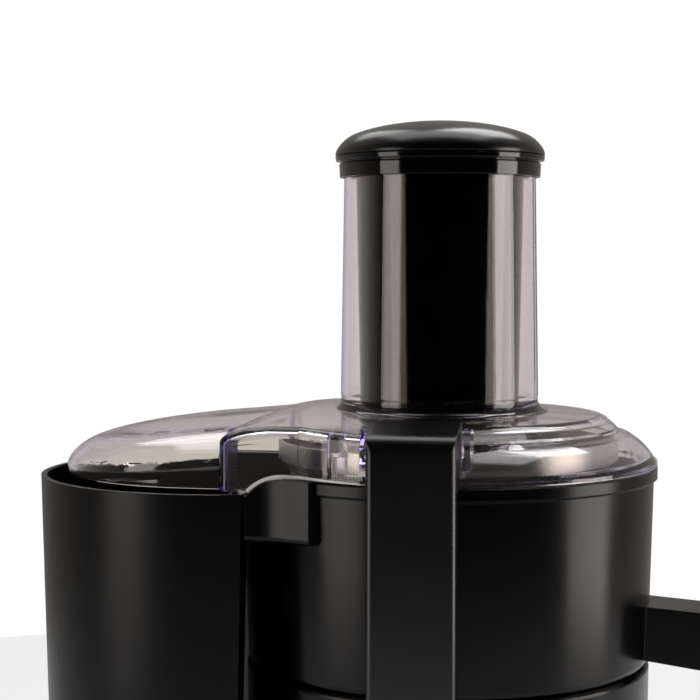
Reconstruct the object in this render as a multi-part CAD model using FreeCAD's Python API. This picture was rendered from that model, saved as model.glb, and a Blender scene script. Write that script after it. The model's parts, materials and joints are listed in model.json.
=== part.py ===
import FreeCAD, Part
import math
import os

# Centrifugal juicer with a side pulp bin, in millimetres.
# The spin axis is the working Z axis, +X is the juice spout side, -X the pulp bin side and -Y the front.
# Heights of the upper pieces are measured from the top of the bowl's lip.

# Driving dimensions
LIP_Z = 250.0              # bowl lip above the table
LIP_R = 87.5
LIP_HEIGHT = 5.0
BOWL_R = 86.0
BOWL_FOOT_R = 84.0
BASE_TOP_Z = 168.0
WALL = 2.5
GAP = 0.3                  # between neighbours that move apart
FIT = 0.05                 # round neighbours that stay together
RUN = 0.06                 # radial clearance of pins and shafts that turn

SOFT = 1 - math.sqrt(0.5)   # an arc's middle is this share of its radius from the corner

# Lid
LID_R = 87.0
LID_REST = 0.25            # lid's rim over the lip
CROWN_TOP = 23.0           # the lid's top is a shallow crown
CROWN_R = 827.0
PLATEAU_R = 63.0
FLANK_TOP = (67.6, 18.2)   # radius and height where the plateau's round edge ends
GROOVE_TOP = (70.4, 15.8)
GROOVE_FOOT = (71.4, 14.4)
SHOULDER = (75.8, 12.8)
SHOULDER_BULGE = (82.6, 7.6)
SHOULDER_FOOT = 1.2
OUTLET_HALF = 72.5         # half width of the pulp outlet
OUTLET_LEFT = -80.3
DRUM_RIGHT = -19.0         # the tall left part of the lid starts here
DRUM_BEND_X = -58.0        # its top bends down to the left from here
DRUM_BEND_R = 55.0
DRUM_CORNER = 4.0
ARCH_HALF = 50.0           # half width of the way from the drum into the dome
DOME_X = -97.0
DOME_TOP = 19.4
DOME_R = 67.5
DOME_WIDEST = 3.5          # height of its widest ring, before the tilt
DOME_TILT = 5.4            # degrees, the dome climbs towards the chute
DOME_END_X = -60.0
DOME_EDGE = -5.4
BEAD = 1.6                 # height of the bead round the lid's rim
RIB_X = 19.3               # ribs that guide each latch's hook
RIB_HALF = 1.6
POST_X = -30.8             # catch post inside the drum's wall
POST_Y = 76.5
SCURVE_X = -54.0           # the rim leaves the lip here and curves down to the bin
SCURVE_R = 18.75
SCURVE_DROP = 7.5
APRON_HALF = 73.6
APRON_LEFT = -69.4
APRON_RIGHT = -42.0        # its outer face ends here and its flank runs back to the wall at the toe
APRON_TOE = -37.6
APRON_DEPTH = 25.0
APRON_SOFT = 2.5
APRON_BEND_X = -66.0       # its side starts to splay outwards here
APRON_HOLLOW = 37.0        # radius of that bend
APRON_SPLAY = 22.0         # degrees
NOTCH_Z = -18.0            # floor of the pulp outlet
TUBE_R = 20.0              # inner radius of the tube round the drive shaft

# Feed chute and pusher
CHUTE_X = -3.6
CHUTE_FLARE = 4.0          # its foot flares out and rests on the lid's crown
CHUTE_TOP = 122.0
CHUTE_TOP_R = 40.0
CHUTE_FOOT = -42.0
CHUTE_FOOT_R = 41.6
CHUTE_WALL = 2.6
PUSHER_TOP_R = 35.1
PUSHER_FOOT_R = 32.4
PUSHER_FOOT = -27.0
CAP_TOP = 142.7
CAP_R = 43.8
CAP_SEAM = 128.2
SKIRT_R = 42.2
SKIRT_FOOT = 119.2

# Pulp bin
BIN_X = -96.2
BIN_R = 79.5
BIN_TOP = -6.2
BIN_LOW_TOP = -22.0        # top of its wall beside the bowl
BIN_DRAFT = 5.6
BIN_INNER_R = 95.0
BIN_TIP_X = -70.0

# Latches
LATCH_HALF = 17.0
LATCH_FACE = 97.0          # front face from the spin axis
LATCH_BACK = 90.5
LATCH_TIP = 71.5
LATCH_TOP = 24.4
LATCH_BROW = 7.0           # rounding from its face to its top
LATCH_SOFT = 2.5           # its front corners
LATCH_ROUND = 9.0          # its tongue's corners
LATCH_PIVOT_Y = 93.5
LATCH_PIVOT_Z = 152.0
LATCH_EYE_R = 6.0
LATCH_PIN_R = 2.5
LUG_HALF = 7.5

# Base
BASE_R = 84.5
WAIST_R = 83.0
WAIST_Z = 40.0
PLINTH_R = 88.0
PLINTH_Z = 16.0
SKIRT_Z = 8.0
FOOT_R = 11.0
FOOT_RING_R = 64.0
POST_RING_R = 72.0
SEAL_R = 14.0
SEAL_DEPTH = 5.0
SPOUT_TIP = 117.0
SPOUT_HALF = 13.0
KNOB_Z = 76.0
KNOB_R = 21.0
KNOB_FACE = 85.8
KNOB_DEPTH = 10.8
GLAND_Z = 56.0
GLAND_R = 7.0
GLAND_BORE = 3.6
CORNER_ANGLES = [math.radians(45 + 90 * index) for index in range(4)]
SCREW_ANGLES = [math.radians(angle) for angle in (20, 160, 200, 340)]

# Drive
SHAFT_R = 4.0
DISC_Z = 200.0
DISC_R = 48.0
DISC_THICK = 1.2
TOOTH_ROWS = ((14.0, 6), (22.0, 9), (30.0, 12), (38.0, 15), (44.5, 18))   # radius and number of teeth
MESH_TOP_R = 68.0
MESH_TOP_Z = 252.0         # the basket's rim stands over the lip, inside the lid
RIM_HEIGHT = 8.0
MESH_FOOT_R = 50.0
COUPLING_Z = (179.0, 193.0)
STATOR_Z = (62.0, 104.0)
STATOR_R = 43.0
COIL_R = (28.0, 37.0)
COIL_REACH = math.radians(34)
ROTOR_R = 24.0
COMMUTATOR_R = 12.0
BRUSH_Z = (44.0, 52.0)
BRACKET_Z = 140.0          # upper motor bracket
LOW_BRACKET_Z = 24.0
CUP_R = 11.0               # bearing seats
HANGER_R = 50.0
HANGER_Z = 150.0
BOLT_RING_R = 36.0
FAN_Z = 119.0

# The spin axis sits off the middle of the footprint, between the bin and the spout.
AXIS_X = (BIN_R - BIN_X - SPOUT_TIP) / 2.0

NODES = {}


def vec(x, y, z=0.0):
    return FreeCAD.Vector(x, y, z)


Z_AXIS = vec(0, 0, 1)
X_AXIS = vec(1, 0, 0)
Y_AXIS = vec(0, 1, 0)


def path_face(points, place):
    """Closed face. A point has 2 numbers, or 4 for an arc: a point on the way, then its end."""
    edges = []
    last = points[0][-2:]
    for point in points[1:] + [points[0]]:
        end = point[-2:]
        if len(point) == 4:
            edges.append(Part.Arc(place(*last), place(*point[:2]), place(*end)).toShape())
        elif end != last:
            edges.append(Part.LineSegment(place(*last), place(*end)).toShape())
        last = end
    return Part.Face(Part.Wire(edges))


def turned(points, x=0.0, lift=0.0):
    """Solid of revolution of an (r, z) outline about a vertical axis at x."""
    face = path_face(points, lambda r, z: vec(r, 0, z))
    solid = face.revolve(vec(0, 0, 0), Z_AXIS, 360)
    solid.translate(vec(x, 0, lift))
    return solid


def plan(points, low, high):
    """Vertical prism of an (x, y) outline."""
    return path_face(points, lambda x, y: vec(x, y, low)).extrude(vec(0, 0, high - low))


def side_x(points, half):
    """Prism of a (y, z) outline, as wide as 2 half in X."""
    return path_face(points, lambda y, z: vec(-half, y, z)).extrude(vec(2 * half, 0, 0))


def side_y(points, half):
    """Prism of an (x, z) outline, as wide as 2 half in Y."""
    return path_face(points, lambda x, z: vec(x, -half, z)).extrude(vec(0, 2 * half, 0))


def cyl(radius, low, high, x=0.0, y=0.0):
    return Part.makeCylinder(radius, high - low, vec(x, y, low))


def ring(outer, inner, low, high, x=0.0, y=0.0):
    return cyl(outer, low, high, x, y).cut(cyl(inner, low - 1, high + 1, x, y))


def cyl_y(radius, start, end, x, z):
    return Part.makeCylinder(radius, end - start, vec(x, start, z), Y_AXIS)


def cyl_x(radius, start, end, y, z):
    return Part.makeCylinder(radius, end - start, vec(start, y, z), X_AXIS)


def box(x0, x1, y0, y1, z0, z1):
    return Part.makeBox(x1 - x0, y1 - y0, z1 - z0, vec(x0, y0, z0))


def spun(shape, count, start=0.0):
    """Copies of a shape evenly round the spin axis."""
    copies = []
    for index in range(count):
        copy = shape.copy()
        copy.rotate(vec(0, 0, 0), Z_AXIS, start + 360.0 * index / count)
        copies.append(copy)
    return copies


def half_turn(shape):
    """The same piece on the far side, for the rear latch."""
    copy = shape.copy()
    copy.rotate(vec(0, 0, 0), Z_AXIS, 180)
    return copy


def mirrored(shape):
    return shape.mirror(vec(0, 0, 0), Y_AXIS)


def ring_spots(radius, angles):
    """Places (x, y) on a circle round the spin axis."""
    return [(radius * math.cos(a), radius * math.sin(a)) for a in angles]


def placed(shape, spots):
    """Copies of a shape drawn on the spin axis."""
    copies = []
    for x, y in spots:
        copy = shape.copy()
        copy.translate(vec(x, y))
        copies.append(copy)
    return copies


def join(first, *others):
    return first.multiFuse(list(others)).removeSplitter()


def raised(shape):
    """Moves a shape drawn from the lip's level to its place."""
    shape.translate(vec(0, 0, LIP_Z))
    return shape


def node(name, *solids):
    NODES[name] = solids[0] if len(solids) == 1 else Part.makeCompound(list(solids))


# Lid: a stepped disc, a taller drum on its left and the pulp dome, drawn once outside and once a wall inside

def crown_height(reach, inset):
    """Height of the crowned top at a distance from its middle."""
    return CROWN_TOP - CROWN_R + math.sqrt((CROWN_R - inset) ** 2 - reach ** 2)


def flank(point, inset):
    """A point on the disc's sloping flank, moved in by the inset."""
    return (point[0] - 0.65 * inset, point[1] - 0.76 * inset)


def lid_disc(inset, foot):
    edge_r = LID_R - inset
    flat_r = PLATEAU_R - 0.1 * inset
    turn_r = (PLATEAU_R + FLANK_TOP[0]) / 2 + 0.7 - 0.3 * inset
    turn_z = crown_height(turn_r, inset) - 0.8
    return turned([
        (0, foot), (0, CROWN_TOP - inset),
        (flat_r / 2, crown_height(flat_r / 2, inset), flat_r, crown_height(flat_r, inset)),
        (turn_r, turn_z, *flank(FLANK_TOP, inset)), flank(GROOVE_TOP, inset), flank(GROOVE_FOOT, inset),
        flank(SHOULDER, inset), (*flank(SHOULDER_BULGE, inset), edge_r, SHOULDER_FOOT - 0.3 * inset),
        (edge_r, foot)])


def drum_top(inset, foot):
    """Everything below the drum's crowned top, which bends down at its left end."""
    reach = LID_R + 10
    side = crown_height(reach, inset)
    section = path_face(
        [(-reach, foot), (reach, foot), (reach, side), (0, CROWN_TOP - inset, -reach, side)],
        lambda y, z: vec(DRUM_BEND_X, y, z))
    level = section.extrude(vec(-DRUM_BEND_X, 0, 0))
    centre = vec(DRUM_BEND_X, 0, crown_height(OUTLET_HALF, 0) - DRUM_BEND_R)
    bend = section.revolve(centre, Y_AXIS, -30)
    below = box(OUTLET_LEFT - 1, DRUM_BEND_X, -reach, reach, foot, LID_REST + 9)
    return level.fuse([bend, below])


def lid_drum(inset, foot, corner):
    radius = LID_R - inset
    half = OUTLET_HALF - inset
    left = OUTLET_LEFT + inset
    right = DRUM_RIGHT - inset
    meet_x = -math.sqrt(radius ** 2 - half ** 2)
    start_y = math.sqrt(radius ** 2 - right ** 2)
    mid_x = (meet_x + right) / 2
    mid_y = math.sqrt(radius ** 2 - mid_x ** 2)
    walls = plan([
        (right, start_y), (mid_x, mid_y, meet_x, half), (left, half), (left, -half), (meet_x, -half),
        (mid_x, -mid_y, right, -start_y)], foot, CROWN_TOP + 5)
    drum = walls.common(drum_top(inset, foot)).removeSplitter()
    outer = []
    for edge in drum.Edges:
        middle = edge.valueAt((edge.FirstParameter + edge.LastParameter) / 2)
        on_side = abs(middle.y) > half - 0.1 or abs(math.hypot(middle.x, middle.y) - radius) < 0.1
        upright = edge.BoundBox.XLength < 0.01 and edge.BoundBox.YLength < 0.01
        if upright:
            chosen = middle.x < left + 0.1
        else:
            chosen = middle.z > foot + 5 and (on_side or middle.x < left + 0.1)
        if chosen:
            outer.append(edge)
    return drum.makeFillet(corner, outer)


def dome_outline(inset):
    """Half section of the dome from its crown to its tucked edge."""
    widest = DOME_R - inset
    curve = Part.BSplineCurve()
    curve.interpolate(
        [vec(0, 0, DOME_TOP - inset), vec(DOME_R - 38, 0, DOME_TOP - 1.3 - inset),
         vec(DOME_R - 22 - 0.2 * inset, 0, DOME_TOP - 3 - inset),
         vec(DOME_R - 10.8 - 0.4 * inset, 0, DOME_TOP - 5.8 - 0.9 * inset),
         vec(DOME_R - 4.1 - 0.7 * inset, 0, DOME_TOP - 9.7 - 0.7 * inset),
         vec(widest, 0, DOME_WIDEST), vec(widest - 1.2, 0, DOME_WIDEST - 5)],
        InitialTangent=vec(1, 0, 0), FinalTangent=vec(-0.35, 0, -1))
    return curve


def lid_dome(inset, foot):
    curve = dome_outline(inset).toShape()
    crown = curve.valueAt(curve.FirstParameter)
    edge = curve.valueAt(curve.LastParameter)
    corner = vec(edge.x, 0, foot)
    middle = vec(0, 0, foot)
    sides = [Part.LineSegment(a, b).toShape() for a, b in ((edge, corner), (corner, middle), (middle, crown))]
    half_face = Part.Face(Part.Wire([curve] + sides))
    end = half_face.revolve(vec(0, 0, 0), Z_AXIS, 360)
    half_face.rotate(vec(0, 0, 0), Z_AXIS, 90)
    arch = half_face.extrude(vec(DOME_END_X - DOME_X, 0, 0))
    dome = end.fuse([arch, mirrored(arch)])
    dome.rotate(vec(0, 0, 0), Y_AXIS, -DOME_TILT)
    dome.translate(vec(DOME_X, 0, 0))
    return dome


def scurve_end():
    return SCURVE_X - math.sqrt(SCURVE_R ** 2 - (SCURVE_R - SCURVE_DROP) ** 2)


def under_rim(level):
    """Everything below the rim line: the lip, then the curve that falls to the bin."""
    turn = math.radians(27)
    mid_x = SCURVE_X - SCURVE_R * math.sin(turn)
    mid_z = level - SCURVE_R * (1 - math.cos(turn))
    end_x = scurve_end()
    return side_y([
        (SCURVE_X, level), (mid_x, mid_z, end_x, level - SCURVE_DROP), (end_x, -40), (120, -40),
        (120, level)], 120)


def rim_bead():
    """Thicker edge of the lid that follows the rim line."""
    outer = outlet_plan(LID_R + 0.4, OUTLET_HALF + 0.8, scurve_end(), -20, 10)
    inner = outlet_plan(LID_R - 1.5, OUTLET_HALF - 1.5, scurve_end() - 5, -21, 11)
    strip = under_rim(LID_REST + BEAD).cut(under_rim(LID_REST))
    return outer.cut(inner).common(strip)


def lid_skirt():
    """Short skirt inside the bowl's wall that keeps the lid centred on the right."""
    outer = BOWL_R - WALL - 0.6
    inner = outer - 2
    right_side = box(-40, 100, -100, 100, -20, 20)
    skirt = ring(outer, inner, -5, 3).common(right_side)
    web = ring(LID_R - 1, inner, LID_REST, 3).common(right_side)
    return skirt.fuse(web)


def latch_ribs():
    """Ribs either side of each latch that guide its hook."""
    rib = side_x([
        (-75.5, 10.5), (-75.5, 19.6), (-76.1, 21.0, -77.5, 21.6), (-84.0, 21.6), (-85.4, 21.0, -86.0, 19.6),
        (-86.0, 14.5), (-83.0, 6.0)], RIB_HALF)
    ribs = []
    for x in (-RIB_X, RIB_X):
        copy = rib.copy()
        copy.translate(vec(x, 0, 0))
        ribs += [copy, mirrored(copy)]
    return ribs


def catch_posts():
    """Round head on two bars, on the inside of the drum's front and rear walls."""
    head = cyl(4.0, 9.5, CROWN_TOP - WALL - 2.5, POST_X, -POST_Y)
    bars = []
    for x0, x1 in ((POST_X - 3.8, POST_X - 2.2), (POST_X + 0.2, POST_X + 3.4)):
        bars.append(box(x0, x1, -POST_Y - 4, -POST_Y + 2, LID_REST, 10))
    posts = head.fuse(bars)
    return [posts, mirrored(posts)]


def outlet_arch():
    """Walls on both sides of the drum's left end, with the pulp's way between them."""
    end = box(OUTLET_LEFT - 1, OUTLET_LEFT + WALL, -100, 100, DOME_EDGE, 60)
    wall = lid_drum(0, DOME_EDGE, DRUM_CORNER).common(end)
    return wall.cut(box(OUTLET_LEFT - 2, 0, -ARCH_HALF, ARCH_HALF, -40, 60)).Solids


def lid_cover():
    void_foot = -30.0
    head_room = box(-200, 0, -100, 100, DOME_EDGE, 60)
    inner_corner = DRUM_CORNER - WALL + 0.5
    dome = lid_dome(0, -20).common(head_room)
    outside = lid_disc(0, LID_REST).fuse([lid_drum(0, DOME_EDGE, DRUM_CORNER), dome])
    inside = lid_disc(WALL, void_foot)
    inside = inside.fuse([lid_drum(WALL, void_foot, inner_corner), lid_dome(WALL, void_foot)])
    cover = outside.cut(inside)
    cover = cover.cut(under_rim(LID_REST))
    cover = join(cover, *outlet_arch(), rim_bead(), lid_skirt(), *latch_ribs(), *catch_posts())
    return raised(cover.cut(cyl(CHUTE_FOOT_R + FIT, 0, CROWN_TOP + 5, CHUTE_X)))


def feed_chute():
    """Tube through the lid, with a flared foot that is shaped to the lid's crown."""
    bore_top = CHUTE_TOP_R - CHUTE_WALL
    bore_foot = CHUTE_FOOT_R - CHUTE_WALL + 0.3
    flare_r = CHUTE_FOOT_R + CHUTE_FLARE
    under = CROWN_TOP - 6
    chute = turned([
        (bore_foot, CHUTE_FOOT), (CHUTE_FOOT_R - 0.3, CHUTE_FOOT), (CHUTE_FOOT_R, under), (flare_r, under),
        (flare_r, CROWN_TOP - 0.9),
        (CHUTE_FOOT_R + 1.1, CROWN_TOP + 0.6, CHUTE_FOOT_R - 0.1, CROWN_TOP + 5.7),
        (CHUTE_TOP_R, CHUTE_TOP - 1), (CHUTE_TOP_R - 1, CHUTE_TOP), (bore_top, CHUTE_TOP)], CHUTE_X)
    crown = lid_disc(0, LID_REST).fuse(lid_drum(0, DOME_EDGE, DRUM_CORNER))
    return raised(chute.cut(crown.cut(cyl(CHUTE_FOOT_R, -20, CROWN_TOP + 5, CHUTE_X))))


# Pusher

def pusher_body():
    rim = CAP_SEAM - 0.3
    groove = SKIRT_FOOT + 5.4
    sleeve = CHUTE_TOP_R + 0.5
    outline = [
        (0, PUSHER_FOOT), (PUSHER_FOOT_R - 4, PUSHER_FOOT),
        (PUSHER_FOOT_R - 4 * SOFT, PUSHER_FOOT + 4 * SOFT, PUSHER_FOOT_R, PUSHER_FOOT + 4),
        (PUSHER_TOP_R, CHUTE_TOP - 2), (PUSHER_TOP_R, CHUTE_TOP + GAP), (sleeve, CHUTE_TOP + GAP),
        (sleeve, SKIRT_FOOT), (SKIRT_R - 0.3, SKIRT_FOOT), (SKIRT_R, groove), (SKIRT_R - 0.6, groove + 0.6),
        (SKIRT_R - 0.6, groove + 1.1), (CAP_R - 0.3, groove + 1.4), (CAP_R, rim), (SKIRT_R - 0.2, rim),
        (SKIRT_R - 0.2, CAP_SEAM), (PUSHER_TOP_R - WALL, CAP_SEAM), (PUSHER_FOOT_R - WALL, PUSHER_FOOT + 6),
        (0, PUSHER_FOOT + WALL)]
    return turned(outline, CHUTE_X, LIP_Z)


def pusher_cap():
    shell = 2.6
    shoulder = CAP_SEAM + 0.4
    curve = Part.BSplineCurve()
    curve.interpolate(
        [vec(0, 0, CAP_TOP), vec(19.7, 0, CAP_TOP - 1.4), vec(32.6, 0, CAP_TOP - 4.3),
         vec(38.8, 0, CAP_TOP - 7.1), vec(42.4, 0, CAP_TOP - 10.7), vec(CAP_R, 0, shoulder)],
        InitialTangent=vec(1, 0, 0), FinalTangent=vec(0.12, 0, -1))
    corners = [
        vec(CAP_R, 0, shoulder), vec(CAP_R - 0.4, 0, CAP_SEAM), vec(0, 0, CAP_SEAM), vec(0, 0, CAP_TOP)]
    edges = [curve.toShape()] + [Part.LineSegment(a, b).toShape() for a, b in zip(corners, corners[1:])]
    dome = Part.Face(Part.Wire(edges)).revolve(vec(0, 0, 0), Z_AXIS, 360)
    spigot_r = PUSHER_TOP_R - WALL - 0.2
    hollow_r = spigot_r - shell
    hollow = turned([
        (0, CAP_SEAM - 1), (hollow_r, CAP_SEAM - 1), (hollow_r, CAP_SEAM + 6), (24, CAP_TOP - 6),
        (0, CAP_TOP - shell - 1)])
    spigot = ring(spigot_r, hollow_r, CAP_SEAM - 6, CAP_SEAM)
    cap = join(dome.cut(hollow), spigot)
    cap.translate(vec(CHUTE_X, 0, LIP_Z))
    return cap


# Bowl

def outlet_plan(radius, half, left, low, high):
    """The bowl's circle with the straight sides of the pulp outlet."""
    return cyl(radius, low, high).fuse(box(left, -30, -half, half, low, high))


def bowl_shell():
    """Round body of the bowl, with a tube that keeps juice off the drive shaft."""
    foot = BASE_TOP_Z - LIP_Z
    floor = foot + 4
    tube_top = foot + 18
    inner_r = BOWL_FOOT_R - WALL
    soft = 3 * SOFT
    inner_soft = 5 * SOFT
    return turned([
        (TUBE_R, foot), (BOWL_FOOT_R - 3, foot), (BOWL_FOOT_R - soft, foot + soft, BOWL_FOOT_R, foot + 3),
        (BOWL_R, -LIP_HEIGHT - 0.8), (LIP_R, -LIP_HEIGHT), (LIP_R, -0.8), (LIP_R - 0.8, 0),
        (BOWL_R - WALL, 0), (inner_r, floor + 5),
        (inner_r - inner_soft, floor + inner_soft, inner_r - 5, floor),
        (TUBE_R + WALL, floor), (TUBE_R + WALL, tube_top), (TUBE_R, tube_top)])


def apron_side():
    """Points (x, y) along the apron's rear face: level, then a soft bend outwards, then the flank."""
    splay = math.radians(APRON_SPLAY)
    mid_x = APRON_BEND_X + APRON_HOLLOW * math.sin(splay / 2)
    mid_y = APRON_HALF + APRON_HOLLOW * (1 - math.cos(splay / 2))
    turn_x = APRON_BEND_X + APRON_HOLLOW * math.sin(splay)
    turn_y = APRON_HALF + APRON_HOLLOW * (1 - math.cos(splay))
    edge_y = turn_y + (APRON_RIGHT - turn_x) * math.tan(splay)
    toe_y = math.sqrt(BOWL_R ** 2 - APRON_TOE ** 2) - 0.6
    return [
        (APRON_LEFT, APRON_HALF), (APRON_BEND_X, APRON_HALF), (mid_x, mid_y, turn_x, turn_y),
        (APRON_RIGHT, edge_y), (APRON_TOE, toe_y)]


def outlet_apron():
    """Aprons outside the wall that carry the straight sides of the outlet."""
    rear = plan(apron_side() + [(APRON_TOE, 0), (APRON_LEFT, 0)], -APRON_DEPTH, 0)
    low_edges = []
    for edge in rear.Edges:
        at_foot = edge.BoundBox.ZMax < -APRON_DEPTH + 0.01
        if at_foot and edge.CenterOfMass.y > APRON_HALF - 0.1:
            low_edges.append(edge)
    rear = rear.makeFillet(APRON_SOFT, low_edges)
    inner = outlet_plan(BOWL_R - 0.6, APRON_HALF - WALL, APRON_LEFT - 5, -APRON_DEPTH - 1, 1)
    return rear.fuse(mirrored(rear)).cut(inner)


def juice_spout(foot):
    """Spout outside the wall, and the bore of its duct with a sloping floor."""
    duct = side_y([
        (80, foot + 4), (SPOUT_TIP, foot - 1), (SPOUT_TIP, foot + 14),
        (SPOUT_TIP - 3, foot + 21, SPOUT_TIP - 10, foot + 24), (80, foot + 26)], SPOUT_HALF)
    bore = side_y([
        (70, foot + 6.5), (82, foot + 6.2), (SPOUT_TIP + 1, foot + 1.5), (SPOUT_TIP + 1, foot + 13.5),
        (SPOUT_TIP - 4.6, foot + 19, SPOUT_TIP - 10.5, foot + 21.5), (70, foot + 23.5)], SPOUT_HALF - WALL)
    return duct.cut(cyl(BOWL_FOOT_R - WALL + 0.5, -120, 0)), bore


def juice_bowl():
    inside_half = APRON_HALF - WALL
    # The shelf keeps pulp out of the juice and leads it to the outlet.
    shelf = outlet_plan(BOWL_R - 1, APRON_HALF - 1, APRON_LEFT, NOTCH_Z - 2, NOTCH_Z)
    shelf = shelf.cut(cyl(MESH_TOP_R + 6.5, -40, 40))
    tongue = box(-99, -60, -46, 46, NOTCH_Z - 2, NOTCH_Z).cut(cyl(BOWL_R - 1, -40, 40))
    mouth = box(-120, -40, -inside_half, inside_half, NOTCH_Z, 20)
    bowl = join(bowl_shell().cut(mouth), outlet_apron(), shelf, tongue)
    above_rim = box(-120, SCURVE_X, -120, 120, NOTCH_Z, 20).cut(under_rim(0))
    bowl = bowl.cut(above_rim)
    duct, bore = juice_spout(BASE_TOP_Z - LIP_Z)
    return raised(join(bowl, duct).cut(bore))


# Pulp bin

def bin_outline(inset, z):
    """Crescent round the bowl at one height, narrower lower down."""
    shrink = inset + BIN_DRAFT * (BIN_TOP - z) / (BIN_TOP + LIP_Z)
    radius = BIN_R - shrink
    inner = BIN_INNER_R + shrink
    tip_x = BIN_TIP_X - shrink
    tip_out = math.sqrt(radius ** 2 - (tip_x - BIN_X) ** 2)
    tip_in = math.sqrt(inner ** 2 - tip_x ** 2)
    front_out = vec(tip_x, -tip_out, z)
    front_in = vec(tip_x, -tip_in, z)
    rear_out = vec(tip_x, tip_out, z)
    rear_in = vec(tip_x, tip_in, z)
    return Part.Wire([
        Part.Arc(rear_out, vec(BIN_X - radius, 0, z), front_out).toShape(),
        Part.LineSegment(front_out, front_in).toShape(),
        Part.Arc(front_in, vec(-inner, 0, z), rear_in).toShape(),
        Part.LineSegment(rear_in, rear_out).toShape()])


def bin_solid(inset, low, high):
    return Part.makeLoft([bin_outline(inset, low), bin_outline(inset, high)], True, True)


def pulp_bin():
    foot = -LIP_Z
    outside = bin_solid(0, foot, BIN_TOP)
    foot_edges = [edge for edge in outside.Edges if edge.BoundBox.ZMax < foot + 0.01]
    shell = outside.makeFillet(4.0, foot_edges).cut(bin_solid(WALL, foot + WALL, BIN_TOP + 1))
    step = cyl(BIN_INNER_R + 12, BIN_LOW_TOP, 10).common(box(-120, -40, -58, 58, BIN_LOW_TOP, 10))
    return raised(shell.cut(step))


# Latches

def latch_hook():
    """Strap with its hook, from the side. A round brow leads from its face to its sloping top."""
    brow_y = -LATCH_FACE + LATCH_BROW
    brow_z = LIP_Z + 13.6
    slope = math.radians(76)
    return side_x([
        (-LATCH_FACE, LATCH_PIVOT_Z), (-LATCH_FACE, brow_z),
        (brow_y - LATCH_BROW * math.cos(slope / 2), brow_z + LATCH_BROW * math.sin(slope / 2),
         brow_y - LATCH_BROW * math.cos(slope), brow_z + LATCH_BROW * math.sin(slope)),
        (-LATCH_TIP - 4, LIP_Z + LATCH_TOP),
        (-LATCH_TIP - 1, LIP_Z + LATCH_TOP - 1, -LATCH_TIP, LIP_Z + LATCH_TOP - 4),
        (-LATCH_TIP, LIP_Z + 17.6), (-77.5, LIP_Z + 13.6), (-82.5, LIP_Z + 9.2), (-88.6, LIP_Z + 2.6),
        (-LATCH_BACK, LIP_Z - 2),
        (-LATCH_BACK, LATCH_PIVOT_Z)], LATCH_HALF)


def latch_plan():
    """Outline from above: soft front corners and a rounded tongue."""
    half = LATCH_HALF
    tip = -LATCH_TIP
    face = -LATCH_FACE
    soft = LATCH_SOFT * SOFT
    round_r = LATCH_ROUND
    bend = LATCH_ROUND * SOFT
    return plan([
        (-half + LATCH_SOFT, face), (half - LATCH_SOFT, face),
        (half - soft, face + soft, half, face + LATCH_SOFT), (half, tip - round_r),
        (half - bend, tip - bend, half - round_r, tip), (-half + round_r, tip),
        (-half + bend, tip - bend, -half, tip - round_r), (-half, face + LATCH_SOFT),
        (-half + soft, face + soft, -half + LATCH_SOFT, face)], LATCH_PIVOT_Z - 20, LIP_Z + 50)


def latch():
    eye = cyl_x(LATCH_EYE_R, -LATCH_HALF, LATCH_HALF, -LATCH_PIVOT_Y, LATCH_PIVOT_Z)
    strap = join(latch_hook().common(latch_plan()), eye)
    slot = LUG_HALF + GAP
    eye_top = LATCH_PIVOT_Z + LATCH_EYE_R
    strap = strap.cut(box(-slot, slot, -LATCH_PIVOT_Y - LATCH_EYE_R - 1, -80, 100, eye_top + 1.5))
    # Hollow back with one rib, as a moulding is
    for x0, x1 in ((-LATCH_HALF + 2.6, -1.2), (1.2, LATCH_HALF - 2.6)):
        strap = strap.cut(box(x0, x1, -LATCH_FACE + 2.6, -80, eye_top + 5, LIP_Z - 3))
    return strap.cut(cyl_x(LATCH_PIN_R + RUN, -50, 50, -LATCH_PIVOT_Y, LATCH_PIVOT_Z))


def latch_pin():
    return cyl_x(LATCH_PIN_R, -LATCH_HALF, LATCH_HALF, -LATCH_PIVOT_Y, LATCH_PIVOT_Z)


# Motor base

def base_shell():
    deck = BASE_TOP_Z
    under = deck - 3
    seat = deck - SEAL_DEPTH
    soft = 2 * SOFT
    bend_z = WAIST_Z - 14
    return turned([
        (10, seat - 4), (10, seat), (SEAL_R, seat), (SEAL_R, deck), (BASE_R - 2, deck),
        (BASE_R - soft, deck - soft, BASE_R, deck - 2), (WAIST_R, WAIST_Z),
        (PLINTH_R - 3.2, bend_z, PLINTH_R, PLINTH_Z), (PLINTH_R, SKIRT_Z), (PLINTH_R - WALL, SKIRT_Z),
        (PLINTH_R - WALL, PLINTH_Z), (PLINTH_R - 5.6, bend_z, WAIST_R - WALL, WAIST_Z),
        (BASE_R - WALL, under), (SEAL_R + WALL, under), (SEAL_R + WALL, seat - 4)])


def latch_lug():
    """Lug that carries a latch's pin."""
    round_r = LATCH_EYE_R - 0.5
    return side_x([
        (-82.5, LATCH_PIVOT_Z - 12), (-LATCH_PIVOT_Y, LATCH_PIVOT_Z - round_r),
        (-LATCH_PIVOT_Y - round_r, LATCH_PIVOT_Z, -LATCH_PIVOT_Y, LATCH_PIVOT_Z + round_r),
        (-82.5, LATCH_PIVOT_Z + round_r)], LUG_HALF)


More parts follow.
